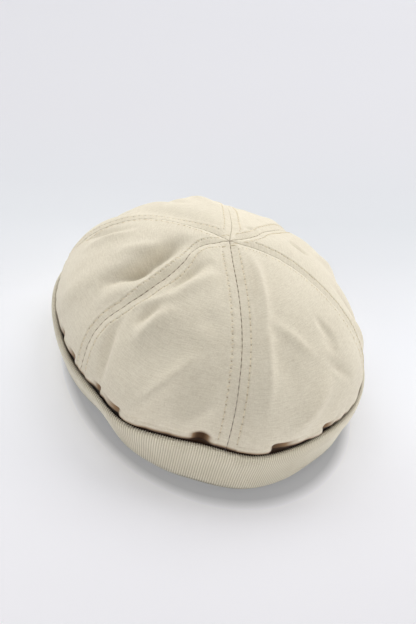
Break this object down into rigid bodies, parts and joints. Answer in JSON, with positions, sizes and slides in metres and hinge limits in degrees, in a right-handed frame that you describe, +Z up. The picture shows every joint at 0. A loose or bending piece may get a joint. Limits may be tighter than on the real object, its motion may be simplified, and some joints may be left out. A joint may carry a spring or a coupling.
{
  "type": "sailor cap",
  "caption": "Brimless sailor's cap: a domed crown of sewn canvas gores gathered into a turned-up cuff of fine rib knit, standing on its hem.",
  "frame": {"origin": "on the surface that the hem stands on, under the middle of the cap's box", "axes": "+Z up through the crown, -Y towards the front of the cap, +X to its right as seen from the front"},
  "size_m": [0.1806, 0.2136, 0.0896],
  "materials": {
    "canvas": "plain-woven cotton canvas, beige, matt, topstitched along each seam",
    "rib_knit": "fine one-by-one rib knit in beige cotton, matt"
  },
  "bodies": {
    "root": {"crown_panel_front_left": "canvas", "crown_panel_front_right": "canvas", "crown_panel_right": "canvas", "crown_panel_back_right": "canvas", "crown_panel_back_left": "canvas", "crown_panel_left": "canvas", "knit_cuff": "rib_knit"}
  },
  "joints": []
}
